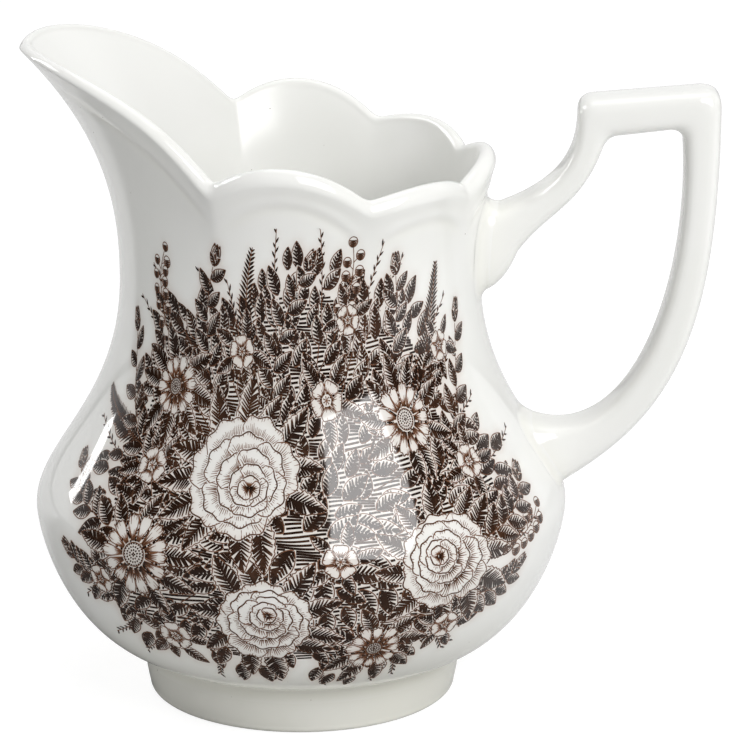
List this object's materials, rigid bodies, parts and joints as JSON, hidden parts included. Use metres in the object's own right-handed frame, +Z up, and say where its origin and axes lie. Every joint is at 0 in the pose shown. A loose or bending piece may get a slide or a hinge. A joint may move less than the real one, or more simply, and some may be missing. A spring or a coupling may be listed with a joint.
{
  "type": "creamer",
  "caption": "Glazed earthenware creamer with a round belly on a foot ring, a scalloped rim, a broad upswept pouring lip and an angular strap handle.",
  "frame": {"origin": "on the table under the middle of the whole length from the lip to the grip, in the creamer's plane of symmetry", "axes": "+X from the pouring lip towards the handle, +Y across the creamer, +Z up"},
  "size_m": [0.1204, 0.0934, 0.1165],
  "materials": {
    "glaze": "glossy clear glaze over white earthenware",
    "print": "dark brown line print under the clear glaze, on the body's two sides",
    "foot_glaze": "glossy clear glaze, slightly creamy where it gathers round the foot",
    "slip_glaze": "glossy glaze pooled in the joint, with a faint cream tint"
  },
  "bodies": {
    "root": {"body": "glaze", "foot_ring": "foot_glaze", "foot_slip": "slip_glaze", "handle": "glaze", "upper_slip": "slip_glaze", "lower_slip": "slip_glaze"}
  },
  "joints": []
}
